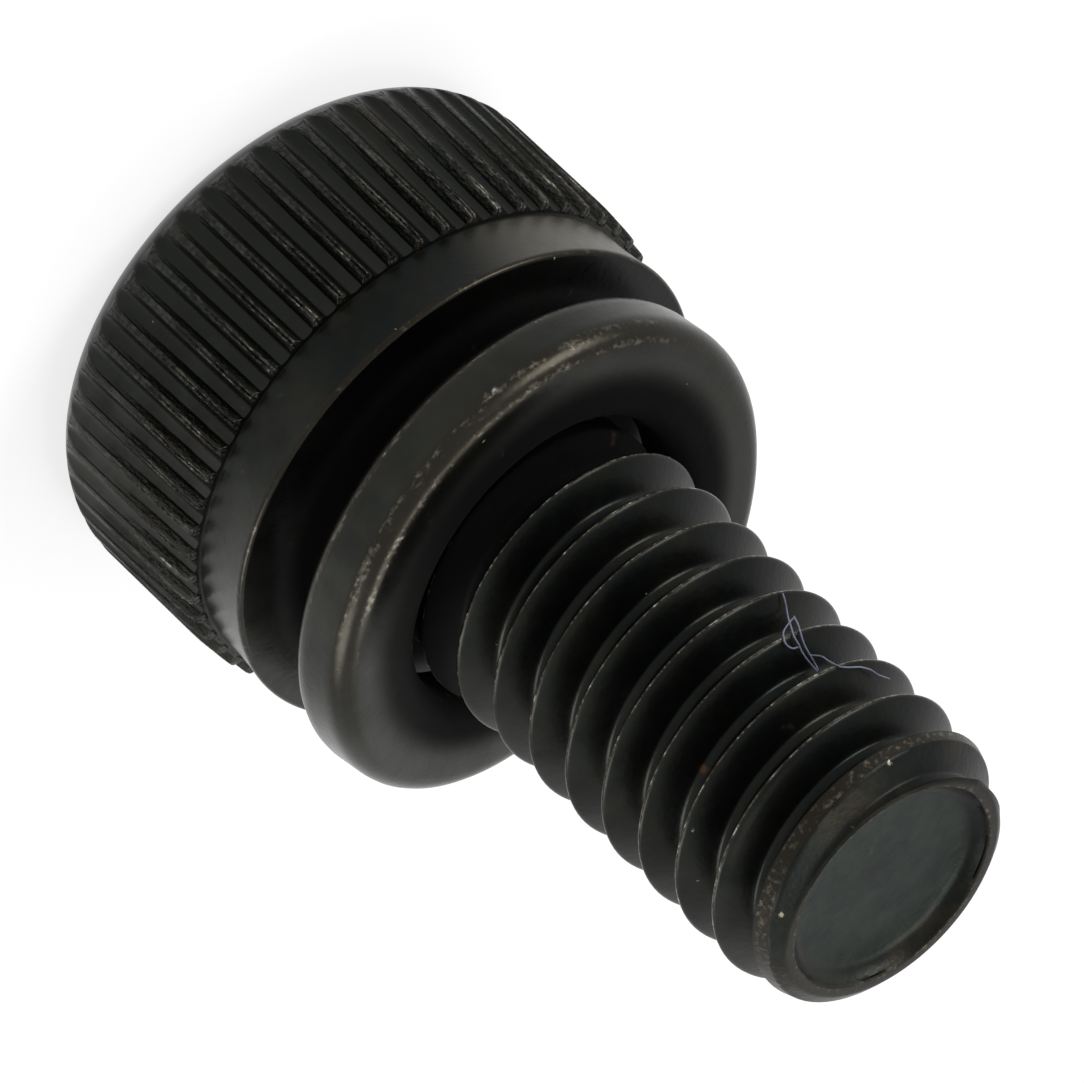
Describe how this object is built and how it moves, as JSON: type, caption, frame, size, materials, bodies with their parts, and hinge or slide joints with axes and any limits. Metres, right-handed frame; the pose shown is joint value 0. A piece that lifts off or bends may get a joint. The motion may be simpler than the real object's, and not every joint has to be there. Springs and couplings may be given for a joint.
{
  "type": "hex socket cap screw",
  "caption": "Small socket head cap screw in black steel: knurled cylindrical head, hexagonal socket, right-hand thread, dished point, and a split lock washer loose on the shank.",
  "frame": {"origin": "centre of the flat top of the head, which the screw stands on", "axes": "+Z along the screw's axis from the head to the point; -Y towards the side that the picture shows; +X along the width"},
  "size_m": [0.0072, 0.0072, 0.012],
  "materials": {
    "screw_steel": "black oxide, satin, worn bright on the ridges and thread crests",
    "washer_steel": "black oxide, satin, worn bright on the outer edges"
  },
  "bodies": {
    "root": {"cap_screw": "screw_steel", "lock_washer": "washer_steel"}
  },
  "joints": []
}
